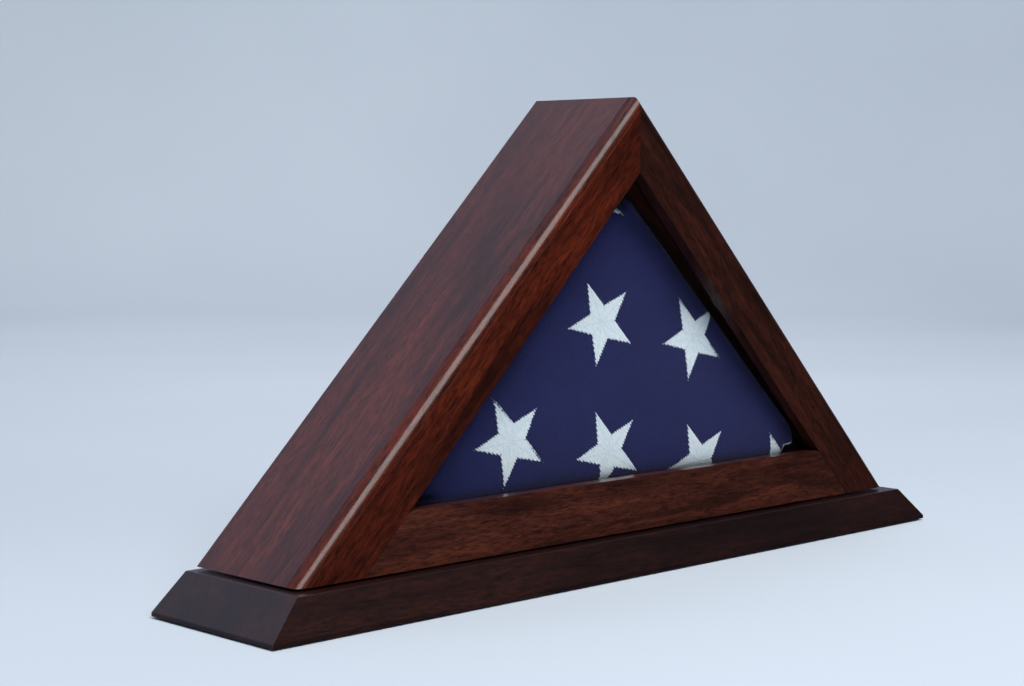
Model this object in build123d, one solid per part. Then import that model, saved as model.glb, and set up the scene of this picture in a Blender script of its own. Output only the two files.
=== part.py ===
from build123d import *
import os

# Triangular display case for one folded flag, standing on a low pedestal board.
# Millimetres. While building: X runs along the front, Y runs back from the front
# face, Z is up from the table. Parts are centred front to back when saved.

# Case
CASE_W = 486.0
CASE_D = 81.5
WALL_T = 19.0
RAIL_W = 29.6
RAIL_T = 9.5
BOTTOM_RAIL_H = 30.3
ROUND_OVER = 5.0
STEP_IN = 5.5
STEP_DROP = 0.5
EASE = 0.4
RAIL_NOSE_R = 10.0

# Glass and the strips that hold it
GLASS_T = 2.0
GLASS_OFF = 20.5
POCKET_OFF = 20.0
POCKET_T = 2.2
STOP_W = 6.0
STOP_T = 5.0
BRAD_R = 0.6
BRAD_L = 12.0

# Pedestal board, felt and the washers that make the shadow gap
FELT_T = 1.2
FELT_INSET = 5.0
BASE_T = 20.6
BASE_LIP = 2.0
GAP = 1.4
TOP_SIDE = 5.8
TOP_FRONT = 7.3
TOP_BACK = 0.8
FLARE_SIDE = 19.8
FLARE_FRONT = 6.7
FLARE_BACK = 1.7
BASE_ROUND = 1.2
SCREW_X = 170.0
SCREW_Y = [22.0, 60.0]
SCREW_R = 2.0
SCREW_BITE = 14.0
SCREW_HEAD_R = 4.2
SCREW_HEAD_T = 3.0
COUNTERBORE_R = 5.0
COUNTERBORE_T = 6.0
WASHER_R = 8.0

# Joinery
DOWEL_R = 3.0
DOWEL_L = 30.0
DOWEL_Y = [28.0, 58.0]
SPLINE_T = 3.0
SPLINE_W = 16.0
SPLINE_L = 52.0
PIN_R = 2.0
PIN_FRONT = 5.0
PIN_BACK = 16.0

# Back door
REBATE_OFF = 9.0
REBATE_D = 6.8
DOOR_OFF = 10.5
DOOR_T = 6.0
CORNER_CUT = 17.0
APEX_CUT = 5.0
LINING_OFF = 20.0
LINING_T = 0.5
MAGNET_OFF = 14.5
MAGNET_X = 24.0
MAGNET_R = 3.0
MAGNET_T = 4.0
STRIKE_R = 3.5
STRIKE_T = 0.5
KNOB_Z = 158.0
KNOB_SCREW_R = 1.5
KNOB_BITE = 8.0

# Butt hinges
HINGE_X = 110.0
HINGE_W = 30.0
HINGE_OUT = 2.0
BARREL_R = 2.0
LEAF_T = 1.0
CASE_LEAF_H = 8.0
DOOR_LEAF_H = 12.0
KNUCKLE_GAP = 0.15
HINGE_PIN_R = 0.9
RUNNING_CLEARANCE = 0.05
PIN_HEAD_R = 1.5
PIN_HEAD_T = 0.7
LEAF_SCREW_X = 10.0
LEAF_SCREW_R = 1.1
LEAF_SCREW_HEAD_R = 2.1

# Folded flag
FLAG_HALF = 172.0
FLAG_SHIFT = 13.0
FLAG_FRONT = 15.2
FLAG_BACK = 62.0
FLAG_CLEAR = 0.4
FLAG_ROUND = 5.0

# Derived levels
HALF = CASE_W / 2
ROOT2 = 2 ** 0.5
BASE_TOP = FELT_T + BASE_T
CASE_Z = BASE_TOP + GAP
WALL_RUN = WALL_T * ROOT2
RAIL_RUN = RAIL_W * ROOT2
LEDGE_Y = CASE_D - REBATE_D
DOOR_Y = CASE_D - DOOR_T
HINGE_Z = CASE_Z + (REBATE_OFF + DOOR_OFF) / 2
HINGE_Y = CASE_D + HINGE_OUT
KNOB_OUT = 14.0
Y_LOW = -(TOP_FRONT + FLARE_FRONT)
Y_HIGH = CASE_D + KNOB_OUT
Y_MIDDLE = (Y_LOW + Y_HIGH) / 2


def save(name, shape):
    shape.label = name
    placed = shape.moved(Location((0, -Y_MIDDLE, 0)))
    export_step(placed, f"parts/{name}.step")


def group(solids):
    return Compound(list(solids))


def prism(points, y_front, y_back):
    corners = [Vector(x, y_front, CASE_Z + z) for x, z in points]
    outline = Polyline(*corners, close=True)
    return extrude(make_face(outline), amount=y_back - y_front, dir=(0, 1, 0))


def triangle(offset):
    foot = HALF - offset * (1 + ROOT2)
    return [(-foot, offset), (foot, offset), (0, HALF - offset * ROOT2)]


def rod(start, end, radius):
    axis = Vector(*end) - Vector(*start)
    return Solid.make_cylinder(radius, axis.length, Plane(origin=start, z_dir=axis))


def cone(start, end, radius_start, radius_end):
    axis = Vector(*end) - Vector(*start)
    place = Plane(origin=start, z_dir=axis)
    return Solid.make_cone(radius_start, radius_end, axis.length, place)


def mirror_x(shape):
    return shape.mirror(Plane.YZ)


def pedestal_screw_places():
    return [(x, y) for x in (-SCREW_X, SCREW_X) for y in SCREW_Y]


def corner_dowel_rods():
    joint_x = HALF - WALL_RUN - WALL_T / 2
    z = CASE_Z + WALL_T / 2
    rods = []
    for side in (-1, 1):
        for y in DOWEL_Y:
            inner = (side * (joint_x - DOWEL_L / 2), y, z)
            outer = (side * (joint_x + DOWEL_L / 2), y, z)
            rods.append(rod(inner, outer, DOWEL_R))
    return rods


def frame_pin_rods():
    slope = HALF - WALL_T * ROOT2 / 2
    spots = [(-slope + 50, 50), (-45, slope - 45), (slope - 50, 50), (45, slope - 45)]
    spots += [(-120, WALL_T / 2), (120, WALL_T / 2)]
    rods = []
    for x, z in spots:
        front = (x, PIN_FRONT, CASE_Z + z)
        back = (x, PIN_BACK, CASE_Z + z)
        rods.append(rod(front, back, PIN_R))
    return rods


def stop_brad_rods():
    y = RAIL_T + STOP_T / 2
    start = WALL_T + STOP_W
    rods = []
    for x in (-110, 0, 110):
        rods.append(rod((x, y, CASE_Z + start), (x, y, CASE_Z + start - BRAD_L), BRAD_R))
    run = BRAD_L / ROOT2
    for side in (-1, 1):
        for x in (40, 95, 150):
            z = HALF - start * ROOT2 - x
            inner = (side * x, y, CASE_Z + z)
            outer = (side * (x + run), y, CASE_Z + z + run)
            rods.append(rod(inner, outer, BRAD_R))
    return rods


def magnet_places():
    z = CASE_Z + HALF - MAGNET_OFF * ROOT2 - MAGNET_X
    return [(-MAGNET_X, z), (MAGNET_X, z)]


def magnet_discs():
    discs = []
    for x, z in magnet_places():
        discs.append(rod((x, LEDGE_Y - MAGNET_T, z), (x, LEDGE_Y, z), MAGNET_R))
    return discs


def apex_key():
    z = CASE_Z + HALF - WALL_RUN / 2 - 2.0
    y = (RAIL_T + LEDGE_Y) / 2
    return Pos(0, y, z) * Box(SPLINE_W, SPLINE_L, SPLINE_T)


def countersunk(x, y_head, z, length, direction):
    head_run = LEAF_SCREW_HEAD_R - LEAF_SCREW_R
    neck = (x, y_head + direction * head_run, z)
    tip = (x, y_head + direction * length, z)
    head = cone((x, y_head, z), neck, LEAF_SCREW_HEAD_R, LEAF_SCREW_R)
    return head + rod(neck, tip, LEAF_SCREW_R)


def case_leaf_screw_solids():
    z = CASE_Z + 4.6
    spots = [sx * HINGE_X + dx for sx in (-1, 1) for dx in (-LEAF_SCREW_X, LEAF_SCREW_X)]
    return [countersunk(x, CASE_D + LEAF_T, z, 13.0, -1) for x in spots]


def door_leaf_screw_solids():
    z = HINGE_Z + 8.6
    spots = [sx * HINGE_X + dx for sx in (-1, 1) for dx in (-LEAF_SCREW_X, LEAF_SCREW_X)]
    return [countersunk(x, CASE_D + LEAF_T, z, 6.2, -1) for x in spots]


# Pedestal

def pedestal_board():
    top_x = HALF + TOP_SIDE
    foot_x = top_x + FLARE_SIDE
    top_y = (-TOP_FRONT, CASE_D + TOP_BACK)
    foot_y = (-TOP_FRONT - FLARE_FRONT, CASE_D + TOP_BACK + FLARE_BACK)

    def outline(half_x, y_pair, z):
        return Polyline(
            (-half_x, y_pair[0], z),
            (half_x, y_pair[0], z),
            (half_x, y_pair[1], z),
            (-half_x, y_pair[1], z),
            close=True,
        )

    foot = make_face(outline(foot_x, foot_y, FELT_T + BASE_LIP))
    top = make_face(outline(top_x, top_y, BASE_TOP))
    board = loft([foot, top], ruled=True) + extrude(foot, amount=BASE_LIP, dir=(0, 0, -1))
    lip_edges = [e for e in board.edges() if abs(e.center().Z - FELT_T - BASE_LIP) < 0.01]
    board = fillet(lip_edges, BASE_ROUND)
    top_edges = [e for e in board.edges() if abs(e.center().Z - BASE_TOP) < 0.01]
    board = fillet(top_edges, 0.6)
    for x, y in pedestal_screw_places():
        board -= rod((x, y, FELT_T), (x, y, BASE_TOP), SCREW_R + 0.1)
        board -= rod((x, y, FELT_T), (x, y, FELT_T + COUNTERBORE_T), COUNTERBORE_R)
    return board


def base_felt():
    half_x = HALF + TOP_SIDE + FLARE_SIDE - FELT_INSET
    y_front = -TOP_FRONT - FLARE_FRONT + FELT_INSET
    y_back = CASE_D + TOP_BACK + FLARE_BACK - FELT_INSET
    middle = (y_front + y_back) / 2
    felt = Pos(0, middle, FELT_T / 2) * Box(2 * half_x, y_back - y_front, FELT_T)
    for x, y in pedestal_screw_places():
        felt -= rod((x, y, 0), (x, y, FELT_T), COUNTERBORE_R + 1)
    return felt


def pedestal_screws():
    screws = []
    seat = FELT_T + COUNTERBORE_T
    for x, y in pedestal_screw_places():
        head = rod((x, y, seat - SCREW_HEAD_T), (x, y, seat), SCREW_HEAD_R)
        shank = rod((x, y, seat), (x, y, CASE_Z + SCREW_BITE), SCREW_R)
        slot = Pos(x, y, seat - SCREW_HEAD_T) * Box(6.0, 1.0, 2.0)
        screws.append(head + shank - slot)
    return group(screws)


def pedestal_washers():
    washers = []
    for x, y in pedestal_screw_places():
        disc = rod((x, y, BASE_TOP), (x, y, CASE_Z), WASHER_R)
        washers.append(disc - rod((x, y, BASE_TOP), (x, y, CASE_Z), SCREW_R + 0.1))
    return group(washers)


# Walls of the case

def cut_wall_features(wall):
    wall -= prism(triangle(REBATE_OFF), LEDGE_Y, CASE_D)
    for pin in frame_pin_rods() + corner_dowel_rods() + magnet_discs():
        wall -= pin
    for brad in stop_brad_rods():
        wall -= brad
    return wall


def left_side_panel():
    points = [(-HALF, 0), (0, HALF), (0, HALF - WALL_RUN), (-HALF + WALL_RUN, 0)]
    wall = prism(points, RAIL_T, CASE_D)
    back_arris = [
        e
        for e in wall.edges()
        if abs(e.center().Y - CASE_D) < 0.01 and abs(e.center().Z - CASE_Z - HALF / 2) < 0.01
    ]
    wall = fillet(back_arris, EASE)
    return cut_wall_features(wall) - apex_key()


def right_side_panel():
    return mirror_x(left_side_panel())


def bottom_panel():
    low = HALF - WALL_RUN
    high = low - WALL_T
    points = [(-low, 0), (low, 0), (high, WALL_T), (-high, WALL_T)]
    panel = cut_wall_features(prism(points, RAIL_T, CASE_D))
    for x, y in pedestal_screw_places():
        panel -= rod((x, y, CASE_Z), (x, y, CASE_Z + SCREW_BITE), SCREW_R)
    for screw in case_leaf_screw_solids():
        panel -= screw
    return panel


def apex_spline():
    return apex_key()


def corner_dowels():
    return group(corner_dowel_rods())


# Face frame

def cut_rail_features(rail):
    rail -= prism(triangle(POCKET_OFF), RAIL_T - POCKET_T, RAIL_T)
    for pin in frame_pin_rods():
        rail -= pin
    return rail


def face_rail_left():
    points = [(-HALF, 0), (0, HALF), (0, HALF - RAIL_RUN), (-HALF + RAIL_RUN, 0)]
    rail = prism(points, 0, RAIL_T)
    step_run = STEP_IN * ROOT2
    band = [(-HALF, 0), (0, HALF), (0, HALF - step_run), (-HALF + step_run, 0)]
    rail -= prism(band, 0, STEP_DROP)
    outer = [
        e
        for e in rail.edges()
        if abs(e.center().Y - STEP_DROP) < 0.01
        and abs(e.center().X + HALF / 2) < 0.01
        and abs(e.center().Z - CASE_Z - HALF / 2) < 0.01
    ]
    rail = fillet(outer, ROUND_OVER)
    return cut_rail_features(rail)


def face_rail_right():
    return mirror_x(face_rail_left())


def face_rail_bottom():
    low = HALF - RAIL_RUN
    high = low - BOTTOM_RAIL_H
    points = [(-low, 0), (low, 0), (high, BOTTOM_RAIL_H), (-high, BOTTOM_RAIL_H)]
    rail = prism(points, 0, RAIL_T)
    noses = [
        e
        for e in rail.edges()
        if abs(e.center().Z - CASE_Z - BOTTOM_RAIL_H) < 0.01 and e.length < RAIL_T + 0.1
    ]
    rail = fillet(noses, RAIL_NOSE_R)
    return cut_rail_features(rail)


def face_frame_pins():
    return group(frame_pin_rods())


# Glass and its strips

def glass_pane():
    return prism(triangle(GLASS_OFF), RAIL_T - GLASS_T, RAIL_T)


def cut_brads(strip):
    for brad in stop_brad_rods():
        strip -= brad
    return strip


def glass_stop_left():
    outer = WALL_T
    inner = WALL_T + STOP_W
    foot = triangle(outer)[0]
    top = triangle(outer)[2]
    foot_in = (-(HALF - inner * ROOT2 - outer), outer)
    top_in = triangle(inner)[2]
    return cut_brads(prism([foot, top, top_in, foot_in], RAIL_T, RAIL_T + STOP_T))


def glass_stop_right():
    return mirror_x(glass_stop_left())


def glass_stop_bottom():
    low = HALF - (WALL_T + STOP_W) * ROOT2 - WALL_T
    high = low - STOP_W
    points = [(-low, WALL_T), (low, WALL_T), (high, WALL_T + STOP_W), (-high, WALL_T + STOP_W)]
    return cut_brads(prism(points, RAIL_T, RAIL_T + STOP_T))


def glass_stop_brads():
    return group(stop_brad_rods())


# Back door

def knob_screw_shank(y_tip):
    z = CASE_Z + KNOB_Z
    return rod((0, DOOR_Y, z), (0, y_tip, z), KNOB_SCREW_R)


def back_door():
    foot = HALF - DOOR_OFF * (1 + ROOT2)
    side_x = foot - CORNER_CUT
    apex_z = HALF - DOOR_OFF * ROOT2 - APEX_CUT
    points = [
        (-side_x, DOOR_OFF),
        (side_x, DOOR_OFF),
        (side_x, DOOR_OFF + CORNER_CUT),
        (APEX_CUT, apex_z),
        (-APEX_CUT, apex_z),
        (-side_x, DOOR_OFF + CORNER_CUT),
    ]
    door = prism(points, DOOR_Y, CASE_D)
    door -= knob_screw_shank(CASE_D)
    for screw in door_leaf_screw_solids():
        door -= screw
    return door


def door_lining():
    lining = prism(triangle(LINING_OFF), DOOR_Y - LINING_T, DOOR_Y)
    z = CASE_Z + KNOB_Z
    return lining - rod((0, DOOR_Y - LINING_T, z), (0, DOOR_Y, z), 3.4)


def strike_discs():
    discs = []
    for x, z in magnet_places():
        discs.append(rod((x, DOOR_Y - STRIKE_T, z), (x, DOOR_Y, z), STRIKE_R))
    return group(discs)


def door_knob():
    z = CASE_Z + KNOB_Z
    profile = Polyline(
        (0, 0),
        (5.5, 0),
        (5.5, 1.2),
        (3.0, 3.0),
        (2.6, 6.0),
        (5.6, 9.0),
        (6.6, 11.0),
        (5.4, 13.2),
        (2.5, 14.0),
        (0, 14.0),
        close=True,
    )
    turned = revolve(make_face(profile), Axis.Y)
    knob = Pos(0, CASE_D, z) * turned
    return knob - knob_screw_shank(CASE_D + KNOB_BITE)


def door_knob_screw():
    z = CASE_Z + KNOB_Z
    head = rod((0, DOOR_Y - 1.8, z), (0, DOOR_Y, z), 3.0)
    slot = Pos(0, DOOR_Y - 1.8, z) * Box(4.4, 1.6, 0.8)
    return head + knob_screw_shank(CASE_D + KNOB_BITE) - slot


# Hinges: the case leaf carries the two outer knuckles, the door leaf the middle one

def knuckle(x_from, x_to, bore):
    shell = rod((x_from, HINGE_Y, HINGE_Z), (x_to, HINGE_Y, HINGE_Z), BARREL_R)
    return shell - rod((x_from, HINGE_Y, HINGE_Z), (x_to, HINGE_Y, HINGE_Z), bore)


def plate(x_from, x_to, z_from, z_to):
    middle = ((x_from + x_to) / 2, CASE_D + LEAF_T / 2, (z_from + z_to) / 2)
    return Pos(*middle) * Box(x_to - x_from, LEAF_T, z_to - z_from)


def bore_rod(x, radius):
    left = (x - HINGE_W / 2, HINGE_Y, HINGE_Z)
    right = (x + HINGE_W / 2, HINGE_Y, HINGE_Z)
    return rod(left, right, radius)


def case_leaf(x):
    left = x - HINGE_W / 2
    right = x + HINGE_W / 2
    third = HINGE_W / 3
    relief = BARREL_R + 0.3
    bottom = HINGE_Z - CASE_LEAF_H
    leaf = plate(left, right, bottom, HINGE_Z - relief)
    leaf += plate(left, left + third, HINGE_Z - relief, HINGE_Z)
    leaf += plate(right - third, right, HINGE_Z - relief, HINGE_Z)
    leaf += knuckle(left, left + third, HINGE_PIN_R)
    leaf += knuckle(right - third, right, HINGE_PIN_R)
    leaf -= bore_rod(x, HINGE_PIN_R)
    for screw in case_leaf_screw_solids():
        leaf -= screw
    return leaf


def door_leaf(x):
    left = x - HINGE_W / 2
    right = x + HINGE_W / 2
    knuckle_left = left + HINGE_W / 3 + KNUCKLE_GAP
    knuckle_right = right - HINGE_W / 3 - KNUCKLE_GAP
    relief = BARREL_R + 0.3
    bore = HINGE_PIN_R + RUNNING_CLEARANCE
    leaf = plate(left, right, HINGE_Z + relief, HINGE_Z + DOOR_LEAF_H)
    leaf += plate(knuckle_left, knuckle_right, HINGE_Z, HINGE_Z + relief)
    leaf += knuckle(knuckle_left, knuckle_right, bore)
    leaf -= bore_rod(x, bore)
    for screw in door_leaf_screw_solids():
        leaf -= screw
    return leaf


def hinge_pin(x):
    left = x - HINGE_W / 2
    right = x + HINGE_W / 2
    pin = rod((left, HINGE_Y, HINGE_Z), (right, HINGE_Y, HINGE_Z), HINGE_PIN_R)
    pin += rod((left - PIN_HEAD_T, HINGE_Y, HINGE_Z), (left, HINGE_Y, HINGE_Z), PIN_HEAD_R)
    pin += rod((right, HINGE_Y, HINGE_Z), (right + PIN_HEAD_T, HINGE_Y, HINGE_Z), PIN_HEAD_R)
    return pin


def case_leaf_screws():
    return group(case_leaf_screw_solids())


def door_leaf_screws():
    return group(door_leaf_screw_solids())


# Folded flag: one plain closed body with rounded folds

def folded_flag():
    base = WALL_T + FLAG_CLEAR
    points = [
        (-FLAG_HALF + FLAG_SHIFT, base),
        (FLAG_HALF + FLAG_SHIFT, base),
        (FLAG_SHIFT, base + FLAG_HALF),
    ]
    body = prism(points, FLAG_FRONT, FLAG_BACK)
    folds = [e for e in body.edges() if abs(e.length - (FLAG_BACK - FLAG_FRONT)) < 0.01]
    body = fillet(folds, FLAG_ROUND)
    rims = [e for e in body.edges() if abs(e.center().Y - FLAG_FRONT) < 0.01]
    rims += [e for e in body.edges() if abs(e.center().Y - FLAG_BACK) < 0.01]
    return fillet(rims, FLAG_ROUND - 1)


os.makedirs("parts", exist_ok=True)

save("pedestal_board", pedestal_board())
save("base_felt", base_felt())
save("pedestal_screws", pedestal_screws())
save("pedestal_washers", pedestal_washers())
save("left_side_panel", left_side_panel())
save("right_side_panel", right_side_panel())
save("bottom_panel", bottom_panel())
save("apex_spline", apex_spline())
save("corner_dowels", corner_dowels())
save("face_rail_left", face_rail_left())
save("face_rail_right", face_rail_right())
save("face_rail_bottom", face_rail_bottom())
save("face_frame_pins", face_frame_pins())
save("glass_pane", glass_pane())
save("glass_stop_left", glass_stop_left())
save("glass_stop_right", glass_stop_right())
save("glass_stop_bottom", glass_stop_bottom())
save("glass_stop_brads", glass_stop_brads())
save("catch_magnets", group(magnet_discs()))
save("folded_flag", folded_flag())
save("hinge_left_case_leaf", case_leaf(-HINGE_X))
save("hinge_right_case_leaf", case_leaf(HINGE_X))
save("hinge_left_pin", hinge_pin(-HINGE_X))
save("hinge_right_pin", hinge_pin(HINGE_X))
save("case_leaf_screws", case_leaf_screws())
save("back_door", back_door())
save("door_lining", door_lining())
save("strike_discs", strike_discs())
save("door_knob", door_knob())
save("door_knob_screw", door_knob_screw())
save("hinge_left_door_leaf", door_leaf(-HINGE_X))
save("hinge_right_door_leaf", door_leaf(HINGE_X))
save("door_leaf_screws", door_leaf_screws())
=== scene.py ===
"""Looks of the folded flag display case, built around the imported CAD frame. Metres, row frame."""

import math

import bpy
import numpy as np
from mathutils import Matrix, Vector


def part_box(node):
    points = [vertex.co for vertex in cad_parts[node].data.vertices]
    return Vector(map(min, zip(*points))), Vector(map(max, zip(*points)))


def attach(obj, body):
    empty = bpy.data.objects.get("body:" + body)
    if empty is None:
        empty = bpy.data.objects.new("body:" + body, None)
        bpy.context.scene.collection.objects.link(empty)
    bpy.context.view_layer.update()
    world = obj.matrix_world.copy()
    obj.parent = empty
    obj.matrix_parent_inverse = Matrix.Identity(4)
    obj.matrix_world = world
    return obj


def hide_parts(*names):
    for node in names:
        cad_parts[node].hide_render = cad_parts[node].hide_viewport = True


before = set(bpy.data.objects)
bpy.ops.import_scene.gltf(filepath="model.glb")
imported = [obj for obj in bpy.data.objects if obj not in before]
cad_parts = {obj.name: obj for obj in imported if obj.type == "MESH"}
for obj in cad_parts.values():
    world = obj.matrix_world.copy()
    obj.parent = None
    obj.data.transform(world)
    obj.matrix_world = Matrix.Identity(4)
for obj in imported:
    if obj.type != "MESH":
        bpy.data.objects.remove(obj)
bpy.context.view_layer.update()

# Camera: what it looks at, how far off, its direction, tilt and lens
LOOK_AT = Vector((-0.0294, 0.0300, 0.1265))
CAMERA_DISTANCE = 1.1146
CAMERA_AZIMUTH = math.radians(-44.886)
CAMERA_ELEVATION = math.radians(4.389)
CAMERA_ROLL = math.radians(0.339)
LENS_MM = 68.12

# The cloth flag: 3 by 5 feet, folded lengthwise into a strip of four plies, then into triangles
HOIST = 0.9144
STRIP = HOIST / 4
STRIPE = HOIST / 13
CANTON_WIDTH = 0.694
CANTON_HEIGHT = 7 * STRIPE
STAR_COLUMN = CANTON_WIDTH / 12
STAR_ROW = CANTON_HEIGHT / 10
STAR_RADIUS = 0.0270
STAR_PINCH = 0.085
STAR_TALLER = 1.045
WARP_PITCH = 0.00045
WEFT_PITCH = 0.00055
ZIGZAG = 0.0009

# Star grid on the front of the packet, where the cloth is turned and drawn in a little:
# place of one star on it, and the steps to its neighbours
STAR_ACROSS = 0.0392
STAR_UP = 0.0693
COLUMN_STEP = 0.0584
COLUMN_DROP = 0.0021
ROW_STEP = 0.0475
ROW_DRIFT = -0.0040

# The folded packet: leg of the triangle, ply pitch and where its faces lie
LEG = 0.246
SIDE_SHIFT = 0.0021
PLY_PITCH = 0.00072
PLY_INSET = 0.0012
FRONT_SETBACK = 0.0028
FRONT_LEAN_UP = 0.05
FRONT_LEAN_ACROSS = 0.035
LEAN_CENTRE_X = -0.013
LEAN_CENTRE_Z = 0.0106
PILLOW = 0.0012
PILLOW_REACH = 0.07
FOLD_WIDTH = 0.014
FLAP_WIDTH = 0.005
FLAP_DROOP = 0.25
APEX_ROUND = 0.013
TOE_ROUND = 0.017
FOLD_STEPS = 64
FOLD_CLUSTER = 0.5
TAIL_STEPS = 27
LAST_STEPS = 21
FULL_SQUARES = 6

SLOPE = math.radians(45)


# Node helpers

def put(tree, kind, inputs=None, **settings):
    """Adds a shader node; an input that is a socket is linked, any other is set."""
    made = tree.nodes.new("ShaderNode" + kind)
    for key, value in settings.items():
        setattr(made, key, value)
    for key, value in (inputs or {}).items():
        socket = made.inputs[key]
        if isinstance(value, bpy.types.NodeSocket):
            tree.links.new(value, socket)
        else:
            socket.default_value = value
    return made


def calc(tree, operation, *values):
    """Adds a Math node and returns its result."""
    return put(tree, "Math", dict(enumerate(values)), operation=operation).outputs[0]


def ramp(tree, factor, stops):
    """Adds a Color Ramp with (position, colour) stops and returns its colour."""
    made = put(tree, "ValToRGB", {"Fac": factor})
    elements = made.color_ramp.elements
    while len(elements) < len(stops):
        elements.new(0.5)
    for element, (position, colour) in zip(elements, stops):
        element.position = position
        element.color = (*colour, 1)
    return made.outputs["Color"]


def blend(tree, factor, colour_a, colour_b):
    """Adds a colour Mix node, whose colour inputs are 6 and 7, and returns its result."""
    made = put(tree, "Mix", {"Factor": factor}, data_type="RGBA")
    for index, colour in ((6, colour_a), (7, colour_b)):
        if isinstance(colour, bpy.types.NodeSocket):
            tree.links.new(colour, made.inputs[index])
        else:
            made.inputs[index].default_value = (*colour, 1)
    return made.outputs[2]


def noise(tree, vector, scale, detail=3.0, roughness=0.55, distortion=0.0):
    """Adds a Noise texture and returns its value."""
    inputs = {"Vector": vector, "Scale": scale, "Detail": detail,
              "Roughness": roughness, "Distortion": distortion}
    return put(tree, "TexNoise", inputs).outputs["Fac"]


def stretched(tree, vector, scale):
    """Scales a coordinate differently along each axis."""
    return put(tree, "Mapping", {"Vector": vector, "Scale": scale}).outputs["Vector"]


def bumped(tree, height, distance, strength=1.0):
    """Adds a Bump node and returns its normal."""
    inputs = {"Height": height, "Distance": distance, "Strength": strength}
    return put(tree, "Bump", inputs).outputs["Normal"]


def start_material(name):
    material = bpy.data.materials.new(name)
    material.use_nodes = True
    material.node_tree.nodes.clear()
    return material, material.node_tree


def end_material(tree, shader):
    output = tree.nodes.new("ShaderNodeOutputMaterial")
    tree.links.new(shader.outputs[0], output.inputs["Surface"])


# Materials

def wood(name, dark, light, grain_tilt=0.0, offset=0.0, roughness=0.3, coat=0.5, coat_roughness=0.12,
         specular=0.5):
    """Stained mahogany: ribbon figure, flecks and pores run along the grain, under lacquer."""
    material, tree = start_material(name)
    place = put(tree, "TexCoord").outputs["Object"]
    turn = {"Vector": place, "Rotation": (0, grain_tilt, 0),
            "Location": (offset, 0.37 * offset, 0.71 * offset)}
    grain = put(tree, "Mapping", turn).outputs["Vector"]
    cloud = noise(tree, stretched(tree, grain, (6, 20, 20)), 1.0, 2.0, 0.5, 0.5)
    ribbon = noise(tree, stretched(tree, grain, (11, 120, 120)), 1.0, 4.0, 0.65, 0.8)
    fleck = noise(tree, stretched(tree, grain, (125, 760, 760)), 1.0, 4.0, 0.7, 0.4)
    pores = noise(tree, stretched(tree, grain, (150, 2300, 2300)), 1.0, 2.0, 0.5)
    figure = calc(tree, "MULTIPLY_ADD", ribbon, 0.6, calc(tree, "MULTIPLY", cloud, 0.4))
    middle = tuple(0.55 * a + 0.45 * b for a, b in zip(dark, light))
    stained = ramp(tree, figure, [(0.38, dark), (0.50, middle), (0.62, light)])
    fleck_mask = put(tree, "MapRange", {"Value": fleck, "From Min": 0.42, "From Max": 0.66, "To Max": 0.85})
    flecked = blend(tree, fleck_mask.outputs[0], stained, tuple(0.55 * c for c in dark))
    pore_mask = put(tree, "MapRange", {"Value": pores, "From Min": 0.58, "From Max": 0.70, "To Max": 0.6})
    pored = blend(tree, pore_mask.outputs[0], flecked, tuple(0.2 * c for c in dark))
    gloss = put(tree, "MapRange", {"Value": fleck, "To Min": roughness - 0.05, "To Max": roughness + 0.10})
    relief = bumped(tree, calc(tree, "MULTIPLY", pore_mask.outputs[0], -1.0), 0.00006)
    ripple = noise(tree, stretched(tree, grain, (6, 45, 45)), 1.0, 1.0)
    open_grain = calc(tree, "MULTIPLY_ADD", fleck, 0.25, ripple)
    end_material(tree, put(tree, "BsdfPrincipled", {
        "Base Color": pored, "Roughness": gloss.outputs[0], "IOR": 1.5, "Normal": relief,
        "Specular IOR Level": specular, "Coat Weight": coat, "Coat Roughness": coat_roughness,
        "Coat Normal": bumped(tree, open_grain, 0.0002, 0.6)}))
    return material


def plain_dowel():
    """Bare beech with short fine flecks."""
    material, tree = start_material("plain_beech")
    place = put(tree, "TexCoord").outputs["Object"]
    flecks = noise(tree, stretched(tree, place, (60, 500, 500)), 1.0, 3.0)
    colour = ramp(tree, flecks, [(0.35, (0.50, 0.33, 0.18)), (0.65, (0.68, 0.50, 0.31))])
    end_material(tree, put(tree, "BsdfPrincipled", {
        "Base Color": colour, "Roughness": 0.65, "Normal": bumped(tree, flecks, 0.00005)}))
    return material


def metal(name, colour, worn, roughness, brush):
    """Plated or lacquered metal with fine brush lines and slight tarnish."""
    material, tree = start_material(name)
    place = put(tree, "TexCoord").outputs["Object"]
    lines = noise(tree, stretched(tree, place, brush), 1.0, 2.0)
    tarnish = noise(tree, place, 220.0, 4.0, 0.6)
    tint = ramp(tree, tarnish, [(0.38, worn), (0.60, colour)])
    rough = put(tree, "MapRange", {"Value": lines, "To Min": roughness - 0.06, "To Max": roughness + 0.12})
    end_material(tree, put(tree, "BsdfPrincipled", {
        "Base Color": tint, "Metallic": 1.0, "Roughness": rough.outputs[0],
        "Normal": bumped(tree, lines, 0.00002)}))
    return material


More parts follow.
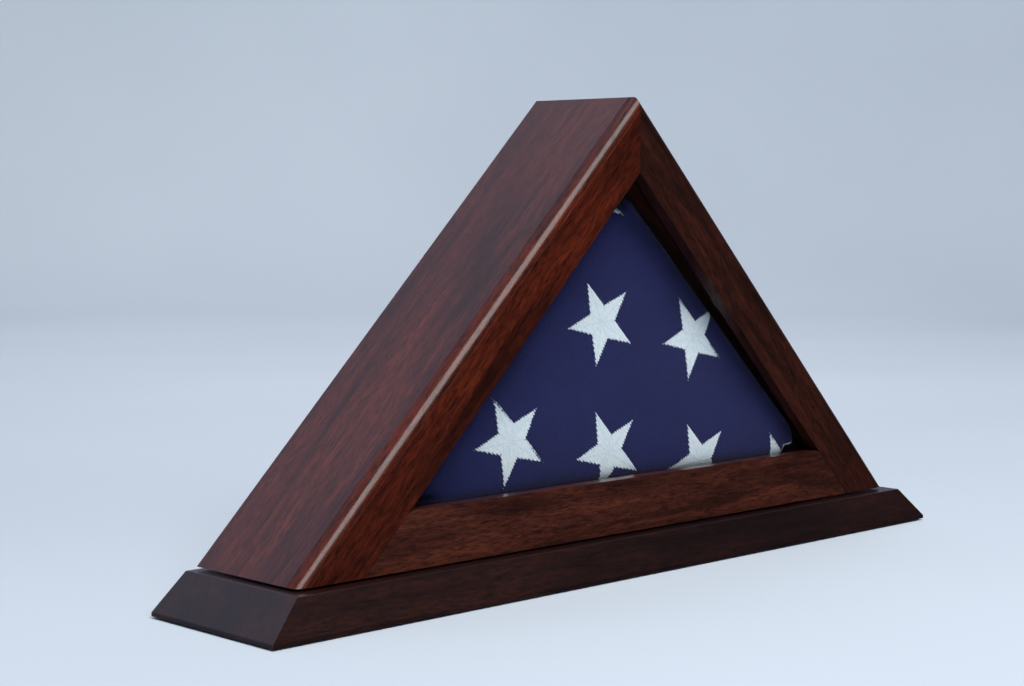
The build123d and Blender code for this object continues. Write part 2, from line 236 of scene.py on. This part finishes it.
def glass():
    """Clear float glass with a trace of dust."""
    material, tree = start_material("clear_glass")
    place = put(tree, "TexCoord").outputs["Object"]
    smear = noise(tree, stretched(tree, place, (14, 14, 30)), 1.0, 4.0, 0.6, 0.8)
    tint = ramp(tree, smear, [(0.3, (0.955, 0.968, 0.966)), (0.7, (0.975, 0.985, 0.982))])
    gloss = put(tree, "MapRange", {"Value": smear, "To Min": 0.005, "To Max": 0.03})
    through = put(tree, "BsdfTransparent", {"Color": tint})
    mirror = put(tree, "BsdfAnisotropic", {"Color": (0.9, 0.94, 1.0, 1), "Roughness": gloss.outputs[0]})
    grazing = put(tree, "LayerWeight", {"Blend": 0.5}).outputs["Facing"]
    share = calc(tree, "MULTIPLY_ADD", calc(tree, "POWER", grazing, 5.0), 0.96, 0.04)
    end_material(tree, put(tree, "MixShader", {0: share, 1: through.outputs[0], 2: mirror.outputs[0]}))
    return material


def fibres(name, dark, light, scale, sheen):
    """Felt or flock: short tangled fibres with a soft sheen."""
    material, tree = start_material(name)
    place = put(tree, "TexCoord").outputs["Object"]
    tangle = noise(tree, place, scale, 5.0, 0.7, 1.5)
    cloud = noise(tree, place, 35.0, 2.0)
    mixed = calc(tree, "ADD", calc(tree, "MULTIPLY", tangle, 0.7), calc(tree, "MULTIPLY", cloud, 0.3))
    end_material(tree, put(tree, "BsdfPrincipled", {
        "Base Color": ramp(tree, mixed, [(0.35, dark), (0.65, light)]), "Roughness": 0.95,
        "Sheen Weight": sheen, "Sheen Roughness": 0.4, "Normal": bumped(tree, tangle, 0.0003)}))
    return material


def star_distance(tree, along, down, shift):
    """For one of the two interleaved star grids: distance outside the nearest star, and to its seams."""
    def cell(value, pitch):
        steps = calc(tree, "ADD", calc(tree, "DIVIDE", value, pitch), shift)
        from_star = calc(tree, "SUBTRACT", calc(tree, "FLOORED_MODULO", steps, 2.0), 1.0)
        return calc(tree, "MULTIPLY", from_star, pitch)

    across = cell(along, STAR_COLUMN)
    upright = calc(tree, "DIVIDE", cell(down, STAR_ROW), STAR_TALLER)
    squares = calc(tree, "ADD", calc(tree, "POWER", across, 2.0), calc(tree, "POWER", upright, 2.0))
    radius = calc(tree, "SQRT", squares)
    angle = calc(tree, "ARCTAN2", across, calc(tree, "MULTIPLY", upright, -1.0))
    tenth = math.radians(36)
    wedge = calc(tree, "FLOORED_MODULO", calc(tree, "ADD", angle, tenth), 2 * tenth)
    from_tip = calc(tree, "ABSOLUTE", calc(tree, "SUBTRACT", wedge, tenth))
    edge_turn = calc(tree, "COSINE", calc(tree, "SUBTRACT", 2 * tenth, from_tip))
    edge_cosine = math.cos(2 * tenth)
    limit = calc(tree, "MULTIPLY_ADD", radius, -STAR_PINCH * edge_cosine, STAR_RADIUS * edge_cosine)
    outside = calc(tree, "SUBTRACT", calc(tree, "MULTIPLY", radius, edge_turn), limit)
    ridge = calc(tree, "MULTIPLY", radius, calc(tree, "SINE", from_tip))
    valley = calc(tree, "MULTIPLY", radius, calc(tree, "SINE", calc(tree, "SUBTRACT", tenth, from_tip)))
    return outside, calc(tree, "MINIMUM", ridge, valley)


def below(tree, value, limit):
    """1 where the value is under the limit, else 0."""
    return calc(tree, "LESS_THAN", value, limit)


def flag_cloth():
    """Woven nylon: navy canton with embroidered white stars, red and white sewn stripes."""
    material, tree = start_material("flag_cloth")
    flat = put(tree, "UVMap", uv_map="flat_cloth").outputs["UV"]
    split = put(tree, "SeparateXYZ", {"Vector": flat})
    along, down = split.outputs["X"], split.outputs["Y"]

    stitches = noise(tree, flat, 700.0, 2.0)
    saw = calc(tree, "PINGPONG", down, ZIGZAG)
    ragged = calc(tree, "MULTIPLY_ADD", saw, 1.1, calc(tree, "MULTIPLY_ADD", stitches, 0.0020, -0.0015))
    odd_edge, odd_seam = star_distance(tree, along, down, 0.0)
    even_edge, even_seam = star_distance(tree, along, down, 1.0)
    inner_columns = calc(tree, "COMPARE", calc(tree, "DIVIDE", along, STAR_COLUMN), 6.0, 5.0)
    inner_rows = calc(tree, "COMPARE", calc(tree, "DIVIDE", down, STAR_ROW), 5.0, 4.0)
    inner = calc(tree, "MULTIPLY", inner_columns, inner_rows)
    even_edge = calc(tree, "ADD", even_edge, calc(tree, "SUBTRACT", 1.0, inner))
    edge = calc(tree, "ADD", calc(tree, "MINIMUM", odd_edge, even_edge), ragged)
    odd_nearer = calc(tree, "LESS_THAN", odd_edge, even_edge)
    seam = put(tree, "Mix", {"Factor": odd_nearer, 2: even_seam, 3: odd_seam}).outputs[0]
    star = put(tree, "MapRange", {"Value": edge, "From Min": 0.0002, "From Max": -0.0002}).outputs[0]

    in_canton = calc(tree, "MULTIPLY", below(tree, along, CANTON_WIDTH), below(tree, down, CANTON_HEIGHT))
    odd_stripe = calc(tree, "FLOORED_MODULO", calc(tree, "FLOOR", calc(tree, "DIVIDE", down, STRIPE)), 2.0)

    warp = calc(tree, "SINE", calc(tree, "MULTIPLY", along, 2 * math.pi / WARP_PITCH))
    weft = calc(tree, "SINE", calc(tree, "MULTIPLY", down, 2 * math.pi / WEFT_PITCH))
    weave = calc(tree, "MULTIPLY", warp, weft)
    slub = noise(tree, stretched(tree, flat, (120, 900, 1)), 1.0, 3.0)
    shade = noise(tree, flat, 30.0, 3.0)
    yarn = noise(tree, flat, 1100.0, 2.0)
    broad = calc(tree, "MULTIPLY_ADD", slub, 0.3, calc(tree, "MULTIPLY", shade, 0.2))
    cloth_shade = calc(tree, "MULTIPLY_ADD", yarn, 0.5, broad)
    navy = ramp(tree, cloth_shade, [(0.38, (0.0055, 0.0068, 0.064)), (0.62, (0.0115, 0.0138, 0.118))])
    red = ramp(tree, slub, [(0.3, (0.42, 0.012, 0.020)), (0.7, (0.55, 0.022, 0.032))])
    white = ramp(tree, slub, [(0.3, (0.70, 0.72, 0.74)), (0.7, (0.82, 0.83, 0.84))])
    line = put(tree, "MapRange", {"Value": seam, "From Min": 0.0001, "From Max": 0.0007,
                                  "To Min": 1.0, "To Max": 0.0}).outputs[0]
    thread = noise(tree, stretched(tree, flat, (260, 900, 1)), 1.0, 3.0, 0.65)
    satin = ramp(tree, thread, [(0.34, (0.76, 0.87, 0.96)), (0.58, (0.96, 0.99, 1.0))])
    # Painted shade: the satin is darkened towards grey-blue along the star's seam lines, as the shade of
    # the seam grooves; the grooves themselves are also in the bump below.
    satin_with_painted_seam_shade = blend(tree, calc(tree, "MULTIPLY", line, 0.16), satin, (0.42, 0.52, 0.62))
    stripes = blend(tree, odd_stripe, red, white)
    canton = blend(tree, star, navy, satin_with_painted_seam_shade)
    colour = blend(tree, in_canton, stripes, canton)

    raised = calc(tree, "MULTIPLY", star, in_canton)
    stitch_relief = calc(tree, "MULTIPLY_ADD", line, -0.3, calc(tree, "MULTIPLY_ADD", thread, 0.5, 0.6))
    relief = calc(tree, "MULTIPLY_ADD", weave, 0.05, calc(tree, "MULTIPLY", raised, stitch_relief))
    end_material(tree, put(tree, "BsdfPrincipled", {
        "Base Color": colour, "Roughness": 0.78, "Specular IOR Level": 0.35,
        "Sheen Weight": 0.15, "Sheen Roughness": 0.5,
        "Normal": bumped(tree, relief, 0.00035, 0.8)}))
    return material


def studio_paper():
    """Pale blue-grey seamless paper."""
    material, tree = start_material("studio_paper")
    place = put(tree, "TexCoord").outputs["Object"]
    cloud = noise(tree, place, 1.2, 2.0)
    colour = ramp(tree, cloud, [(0.3, (0.58, 0.64, 0.70)), (0.7, (0.63, 0.69, 0.75))])
    end_material(tree, put(tree, "BsdfPrincipled", {
        "Base Color": colour, "Roughness": 0.9, "Specular IOR Level": 0.1}))
    return material


# The folded flag

def fold_lines():
    """Places of the mesh lines across one square of the strip, closer together at the folds."""
    step = np.arange(FOLD_STEPS + 1) / FOLD_STEPS
    return step - FOLD_CLUSTER * np.sin(2 * np.pi * step) / (2 * np.pi)


def strip_lines():
    """Mesh lines along the fly, in strip widths: the tail, six whole squares and the last part."""
    lines = fold_lines()
    tail = -lines[TAIL_STEPS:0:-1]
    squares = [k + lines[:-1] for k in range(FULL_SQUARES)]
    return np.concatenate([tail, *squares, FULL_SQUARES + lines[:LAST_STEPS + 1]])


def ply_lines():
    """Mesh lines down the hoist, in strip widths, over the four plies."""
    lines = fold_lines()
    return np.concatenate([k + lines[:-1] for k in range(4)] + [[4.0]])


def ply_distance(down, ply):
    """Distance from the strip's doubled edge, for a point on one of the four plies."""
    return np.where(ply % 2 == 0, ply + 1 - down, down - ply)


def ply_layer(down):
    """Place of each ply in the strip's thickness, 0 outermost; a fold lies between its two plies."""
    order = np.array([3.0, 0.0, 1.0, 2.0])
    ply = np.clip(np.floor(down).astype(int), 0, 3)
    layer = order[ply]
    on_fold = (np.abs(down - np.round(down)) < 1e-9) & (down > 0.5) & (down < 3.5)
    fold_layer = np.where(np.round(down) == 2, 0.5, 1.5)
    return np.where(on_fold, fold_layer, layer)


def fold_point(square, sigma, edge):
    """Folds a strip point into the triangle: its two leg coordinates and the triangle's number."""
    even = square % 2 == 0
    first = np.where(even, sigma + edge <= 1 + 1e-9, sigma <= edge + 1e-9)
    a = np.where(even, np.where(first, sigma, 1 - edge), np.where(first, 1 - edge, 1 - sigma))
    b = np.where(even, np.where(first, edge, 1 - sigma), np.where(first, sigma, edge))
    return a, b, 2 * square + np.where(first, 0, 1)


def fold_tail(sigma, edge):
    """Folds the hoist end, tucked in at the back, and turns its corner in past the base."""
    a, b = -sigma, edge
    over = a + b > 1 + 1e-9
    return np.where(over, 1 - b, a), np.where(over, 1 - a, b), over


def round_corner(points, corner, toward_a, toward_b, radius):
    """Pulls a packet corner in to an arc; toward_a and toward_b point along its edges to the corner."""
    toward_a = np.array(toward_a) / np.hypot(*toward_a)
    toward_b = np.array(toward_b) / np.hypot(*toward_b)
    bisector = (toward_a + toward_b) / np.hypot(*(toward_a + toward_b))
    half_angle = math.acos(float(np.clip(toward_a @ bisector, -1, 1)))
    centre = np.array(corner) - bisector * radius / math.sin(half_angle)
    normal_a = np.array([-toward_a[1], toward_a[0]])
    normal_a = normal_a * np.sign(normal_a @ bisector)
    normal_b = np.array([-toward_b[1], toward_b[0]])
    normal_b = normal_b * np.sign(normal_b @ bisector)
    from_centre = points - centre
    length = np.maximum(np.hypot(from_centre[:, 0], from_centre[:, 1]), 1e-9)
    facing = np.maximum(from_centre @ normal_a, from_centre @ normal_b) / length
    inside = (from_centre @ toward_a > 0) & (from_centre @ toward_b > 0)
    pull = np.where(inside, np.clip(facing, 0, 1), 1.0)
    return centre + from_centre * pull[:, None]


def rolled(distance, width):
    """0 on a fold rising to 1 a fold width in, as a quarter ellipse."""
    reach = np.clip(1 - distance / width, 0, 1)
    return np.sqrt(1 - reach ** 2)


def packet_points(along, down):
    """Positions of the cloth's points in the folded packet."""
    low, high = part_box("folded_flag")
    centre_x = (low.x + high.x) / 2 + SIDE_SHIFT
    apex_z = low.z + LEG / math.sqrt(2)
    middle_y = (low.y + high.y) / 2 + 0.002

    ply = np.clip(np.floor(down).astype(int), 0, 3)
    edge = ply_distance(down, ply)
    layer = ply_layer(down)
    square = np.clip(np.floor(along + 1e-9).astype(int), 0, FULL_SQUARES)
    a, b, number = fold_point(square, along - square, edge)
    tail = along < 0
    tail_a, tail_b, tail_over = fold_tail(along, edge)
    a = np.where(tail, tail_a, a)
    b = np.where(tail, tail_b, b)
    number = np.where(tail, -1, number)

    front = number % 2 == 0
    wrap = np.where(front, number // 2, np.where(number > 1, (number - 1) // 2 + 2, 0))
    wrap = np.where(tail, np.where(tail_over, 2, 1), wrap)
    slot = 4 * wrap + layer
    incentre = 1 - math.sqrt(0.5)
    shrink = 1 - PLY_INSET * slot
    a = incentre + (a - incentre) * shrink
    b = incentre + (b - incentre) * shrink

    left_gap = np.maximum(a, 0) * LEG
    right_gap = np.maximum(b, 0) * LEG
    base_gap = np.maximum(1 - a - b, 0) * LEG / math.sqrt(2)
    flat = np.stack([a * LEG, b * LEG], 1)
    flat = round_corner(flat, (0, 0), (-1, 0), (0, -1), APEX_ROUND)
    flat = round_corner(flat, (LEG, 0), (1, 0), (1, -1), TOE_ROUND)
    flat = round_corner(flat, (0, LEG), (0, 1), (-1, 1), APEX_ROUND)
    x = centre_x + (flat[:, 0] - flat[:, 1]) / math.sqrt(2)
    z = apex_z - (flat[:, 0] + flat[:, 1]) / math.sqrt(2)

    lean = FRONT_LEAN_UP * (z - low.z - LEAN_CENTRE_Z) - FRONT_LEAN_ACROSS * (x - centre_x - LEAN_CENTRE_X)
    edge_gap = np.minimum(np.minimum(left_gap, right_gap), base_gap)
    pillow = PILLOW * np.clip(edge_gap / PILLOW_REACH, 0, 1)
    swell = 0.0003 * np.sin(41 * x + 23 * z) + 0.0002 * np.sin(97 * z - 31 * x + 1.3)
    front_y = low.y + FRONT_SETBACK + lean - pillow + swell + slot * PLY_PITCH
    back_y = high.y - swell - slot * PLY_PITCH
    resting = np.where(front, front_y, back_y)
    depth = np.abs(resting - middle_y)
    width = np.minimum(FOLD_WIDTH, 0.6 * depth + 0.001)
    left_roll = rolled(left_gap, width)
    right_roll = rolled(right_gap, width)
    right_roll = np.where(number == 0, 1 - FLAP_DROOP * (1 - rolled(right_gap, FLAP_WIDTH)), right_roll)
    left_roll = np.where(number == 1, 1 - FLAP_DROOP * (1 - rolled(left_gap, FLAP_WIDTH)), left_roll)
    y = middle_y + (resting - middle_y) * left_roll * right_roll * rolled(base_gap, width)
    return np.stack([x, y, z], 1)


def flag_faces(lines_s, lines_v):
    """Triangles over the cloth, cut along the direction of the diagonal fold of each square."""
    rows = len(lines_v)
    faces = []
    for i in range(len(lines_s) - 1):
        square = max(math.floor((lines_s[i] + lines_s[i + 1]) / 2), 0)
        for j in range(rows - 1):
            ply = int((lines_v[j] + lines_v[j + 1]) / 2)
            a, b, c, d = i * rows + j, (i + 1) * rows + j, (i + 1) * rows + j + 1, i * rows + j + 1
            rising = (square + ply) % 2 == 0
            faces += [(a, b, c), (a, c, d)] if rising else [(a, b, d), (b, c, d)]
    return faces


def star_place(along, down):
    """Flat cloth place whose pattern shows at a point on the first square, fitted to the seen stars."""
    across = along * LEG - STAR_ACROSS
    upright = (down - 1) * LEG - STAR_UP
    area = COLUMN_STEP * ROW_STEP - ROW_DRIFT * COLUMN_DROP
    column = 2 + (ROW_STEP * across - ROW_DRIFT * upright) / area
    row = 6 + (COLUMN_STEP * upright - COLUMN_DROP * across) / area
    return column * STAR_COLUMN, row * STAR_ROW


def folded_flag(material):
    """One whole cloth, folded ply by ply into the packet."""
    lines_s, lines_v = strip_lines(), ply_lines()
    along, down = [grid.ravel() for grid in np.meshgrid(lines_s, lines_v, indexing="ij")]
    mesh = bpy.data.meshes.new("folded_flag_cloth")
    mesh.from_pydata(packet_points(along, down).tolist(), [], flag_faces(lines_s, lines_v))
    corners = np.array([loop.vertex_index for loop in mesh.loops]).reshape(-1, 3)
    cloth_u = (along[corners] - lines_s[0]) * STRIP
    cloth_v = down[corners] * STRIP
    front_u, front_v = star_place(along[corners], down[corners])
    first = (along[corners].mean(1) < 1) & (down[corners].mean(1) < 2)
    cloth_u[first] = front_u[first]
    cloth_v[first] = front_v[first]
    uv = mesh.uv_layers.new(name="flat_cloth")
    uv.data.foreach_set("uv", np.stack([cloth_u, cloth_v], 2).ravel())
    mesh.shade_smooth()
    mesh.materials.append(material)
    flag = bpy.data.objects.new("folded_flag_cloth", mesh)
    bpy.context.scene.collection.objects.link(flag)
    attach(flag, "case")
    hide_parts("folded_flag")


# Stage

def studio_floor(material):
    """A round floor that curves up all round into a low wall."""
    flat_radius, cove_radius, wall_height, turns, steps = 2.3, 0.9, 1.6, 96, 12
    profile = [(0.0, 0.0), (flat_radius, 0.0)]
    for k in range(1, steps + 1):
        angle = math.pi / 2 * k / steps
        profile.append((flat_radius + cove_radius * math.sin(angle), cove_radius * (1 - math.cos(angle))))
    profile.append((flat_radius + cove_radius, wall_height))
    points = [(0.0, 0.0, 0.0)]
    for radius, height in profile[1:]:
        for k in range(turns):
            angle = 2 * math.pi * k / turns
            points.append((radius * math.cos(angle), radius * math.sin(angle), height))
    faces = [(0, 1 + k, 1 + (k + 1) % turns) for k in range(turns)]
    for ring in range(len(profile) - 2):
        for k in range(turns):
            a, b = 1 + ring * turns + k, 1 + ring * turns + (k + 1) % turns
            faces.append((a, a + turns, b + turns, b))
    mesh = bpy.data.meshes.new("studio_floor")
    mesh.from_pydata(points, [], faces)
    mesh.shade_smooth()
    mesh.materials.append(material)
    floor = bpy.data.objects.new("studio_floor", mesh)
    bpy.context.scene.collection.objects.link(floor)
    floor.visible_glossy = False


def softbox(name, place, target, size, watts, spread=180, colour=(1, 1, 1)):
    lamp = bpy.data.lights.new(name, "AREA")
    lamp.shape = "RECTANGLE"
    lamp.size, lamp.size_y = size
    lamp.energy = watts
    lamp.spread = math.radians(spread)
    lamp.color = colour
    light = bpy.data.objects.new(name, lamp)
    light.location = place
    light.visible_camera = False
    light.rotation_euler = (Vector(target) - Vector(place)).to_track_quat("-Z", "Y").to_euler()
    bpy.context.scene.collection.objects.link(light)


def studio_air():
    """Soft light all round: brightest high up behind the case, dim in front of it."""
    world = bpy.data.worlds.new("studio_air")
    world.use_nodes = True
    tree = world.node_tree
    way = put(tree, "TexCoord").outputs["Generated"]
    facing = put(tree, "VectorMath", {0: way, 1: (0, 0.71, 0.71)}, operation="DOT_PRODUCT").outputs["Value"]
    colour = ramp(tree, calc(tree, "MULTIPLY_ADD", facing, 0.5, 0.5),
                  [(0.40, (0.015, 0.016, 0.020)), (0.65, (0.10, 0.11, 0.15)), (0.92, (0.27, 0.30, 0.41))])
    tree.links.new(colour, tree.nodes["Background"].inputs["Color"])
    bpy.context.scene.world = world


def studio_lights():
    softbox("front_softbox", (-0.55, -1.2, 1.95), (0, 0, 0.1), (2.0, 1.6), 66, 180, (0.97, 0.98, 0.98))
    softbox("back_softbox", (0.6, 0.9, 2.4), (1.6, 1.8, 0), (1.6, 1.2), 15, 120, (0.98, 0.99, 1.0))
    studio_air()
    bpy.context.scene.view_settings.view_transform = "Standard"


def camera():
    right = Vector((math.cos(CAMERA_AZIMUTH), math.sin(CAMERA_AZIMUTH), 0))
    back = Vector((math.sin(CAMERA_AZIMUTH) * math.cos(CAMERA_ELEVATION),
                   -math.cos(CAMERA_AZIMUTH) * math.cos(CAMERA_ELEVATION),
                   math.sin(CAMERA_ELEVATION)))
    up = back.cross(right)
    rolled_right = math.cos(CAMERA_ROLL) * right + math.sin(CAMERA_ROLL) * up
    rolled_up = math.cos(CAMERA_ROLL) * up - math.sin(CAMERA_ROLL) * right
    lens = bpy.data.cameras.new("camera")
    lens.lens = LENS_MM
    lens.sensor_width = 36
    lens.clip_start = 0.05
    shot = bpy.data.objects.new("camera", lens)
    turn = Matrix((rolled_right, rolled_up, back)).transposed().to_4x4()
    shot.matrix_world = Matrix.Translation(LOOK_AT + back * CAMERA_DISTANCE) @ turn
    bpy.context.scene.collection.objects.link(shot)
    bpy.context.scene.camera = shot


# Finishes on the CAD nodes

def dress(material, *names):
    for name in names:
        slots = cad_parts[name].data.materials
        slots.clear()
        slots.append(material)


def dress_wood():
    base = {"dark": (0.010, 0.0036, 0.0032), "light": (0.036, 0.0105, 0.0080)}
    wall = {"dark": (0.036, 0.0070, 0.0048), "light": (0.120, 0.0240, 0.0130)}
    face = {"dark": (0.017, 0.0027, 0.0013), "light": (0.118, 0.0150, 0.0036)}
    # Painted shade: the right rail's palette is a darker copy of the face wood, standing in for the shade
    # that falls on that rail.
    painted_shade_face = {"dark": (0.012, 0.0025, 0.0014), "light": (0.062, 0.0110, 0.0040)}
    sill = {"dark": (0.020, 0.0052, 0.0036), "light": (0.112, 0.0262, 0.0130)}
    strip = {"dark": (0.008, 0.0035, 0.0025), "light": (0.022, 0.009, 0.006)}
    door = {"dark": (0.030, 0.011, 0.007), "light": (0.085, 0.032, 0.018)}
    dress(wood("base_wood", **base, offset=0.3, coat=0.6), "pedestal_board")
    dress(wood("wall_wood_left", **wall, grain_tilt=SLOPE, offset=0.9, coat=0.7, coat_roughness=0.3),
          "left_side_panel")
    dress(wood("wall_wood_right", **wall, grain_tilt=-SLOPE, offset=1.7, coat=0.7, coat_roughness=0.3),
          "right_side_panel")
    dress(wood("wall_wood_bottom", **wall, offset=2.3), "bottom_panel", "apex_spline")
    dress(wood("face_wood_left", **face, grain_tilt=SLOPE, offset=3.1, specular=0.25, coat=0.3),
          "face_rail_left")
    dress(wood("face_wood_right", **painted_shade_face, grain_tilt=-SLOPE, offset=4.3, specular=0.2, coat=0.08,
               roughness=0.5, coat_roughness=0.3), "face_rail_right")
    dress(wood("face_wood_bottom", **sill, offset=5.9, specular=0.25, coat=0.3), "face_rail_bottom")
    dress(wood("stop_wood_left", **strip, grain_tilt=SLOPE, offset=6.1), "glass_stop_left")
    dress(wood("stop_wood_right", **strip, grain_tilt=-SLOPE, offset=6.7), "glass_stop_right")
    dress(wood("stop_wood_bottom", **strip, offset=7.4), "glass_stop_bottom")
    dress(wood("door_wood", **door, offset=8.2, roughness=0.45, coat=0.2), "back_door")
    dress(plain_dowel(), "corner_dowels")


def dress_metal():
    steel = metal("zinc_steel", (0.62, 0.63, 0.66), (0.42, 0.43, 0.46), 0.34, (900, 900, 200))
    nickel = metal("nickel", (0.74, 0.73, 0.70), (0.56, 0.55, 0.52), 0.20, (900, 900, 300))
    brass = metal("brass", (0.80, 0.56, 0.24), (0.52, 0.34, 0.13), 0.24, (250, 1200, 1200))
    parts = ("case_leaf", "door_leaf", "pin")
    hinges = [f"hinge_{side}_{part}" for side in ("left", "right") for part in parts]
    dress(steel, "pedestal_screws", "face_frame_pins", "glass_stop_brads")
    dress(nickel, "catch_magnets", "strike_discs")
    dress(brass, "door_knob", "door_knob_screw", "case_leaf_screws", "door_leaf_screws", *hinges)


def dress_soft():
    dress(fibres("base_felt", (0.010, 0.010, 0.011), (0.035, 0.035, 0.037), 1400.0, 0.3), "base_felt")
    dress(fibres("door_lining", (0.008, 0.008, 0.009), (0.026, 0.026, 0.028), 2600.0, 0.2), "door_lining")
    dress(fibres("fibre_washer", (0.012, 0.011, 0.010), (0.030, 0.028, 0.026), 1800.0, 0.0),
          "pedestal_washers")
    dress(glass(), "glass_pane")


dress_wood()
dress_metal()
dress_soft()
folded_flag(flag_cloth())
studio_floor(studio_paper())
studio_lights()
camera()
